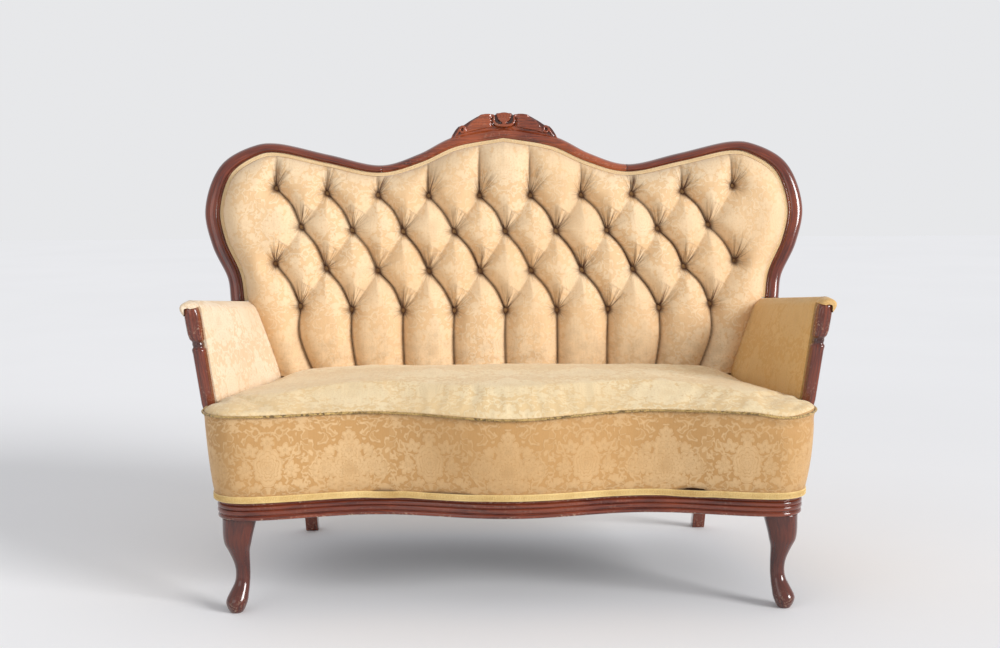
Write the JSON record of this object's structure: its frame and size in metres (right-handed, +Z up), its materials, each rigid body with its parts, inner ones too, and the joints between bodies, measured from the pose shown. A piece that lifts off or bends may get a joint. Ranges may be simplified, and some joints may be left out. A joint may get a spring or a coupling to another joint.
{
  "type": "torn sofa",
  "caption": "Small settee with a carved show-wood frame, deep-buttoned back, padded seat and arms, and worn, frayed trimmings.",
  "frame": {"origin": "centre of the box round the sofa, on the floor", "axes": "+X to the right as seen from the front, +Y from the front to the back, +Z up"},
  "size_m": [1.449, 0.732, 1.046],
  "materials": {
    "wood": "dark red-brown gloss, scuffed",
    "cloth": "woven gold damask, worn",
    "braid": "woven gold braid, frayed",
    "lining": "thin dark cloth"
  },
  "bodies": {
    "root": {"seat_rail_front": "wood", "seat_rail_right": "wood", "seat_rail_left": "wood", "seat_rail_back": "wood", "front_leg_right": "wood", "front_leg_left": "wood", "back_post_right": "wood", "back_post_left": "wood", "ear_rail_right": "wood", "ear_rail_left": "wood", "crest_rail": "wood", "arm_post_right": "wood", "arm_post_left": "wood", "arm_pad_right": "cloth", "arm_pad_left": "cloth", "seat_pad": "cloth", "back_pad": "cloth", "back_cover": "cloth", "seat_piping": "braid", "seat_gimp": "braid", "back_gimp": "braid", "dust_cover": "lining", "button_01": "cloth", "button_02": "cloth", "button_03": "cloth", "button_04": "cloth", "button_05": "cloth", "button_06": "cloth", "button_07": "cloth", "button_08": "cloth", "button_09": "cloth", "button_10": "cloth", "button_11": "cloth", "button_12": "cloth", "button_13": "cloth", "button_14": "cloth", "button_15": "cloth", "button_16": "cloth", "button_17": "cloth", "button_18": "cloth", "button_19": "cloth", "button_20": "cloth", "button_21": "cloth", "button_22": "cloth", "button_23": "cloth", "button_24": "cloth", "button_25": "cloth", "button_26": "cloth", "button_27": "cloth", "button_28": "cloth", "button_29": "cloth", "button_30": "cloth", "button_31": "cloth", "button_32": "cloth", "button_33": "cloth", "button_34": "cloth", "button_35": "cloth", "button_36": "cloth", "button_37": "cloth", "button_38": "cloth"}
  },
  "joints": []
}
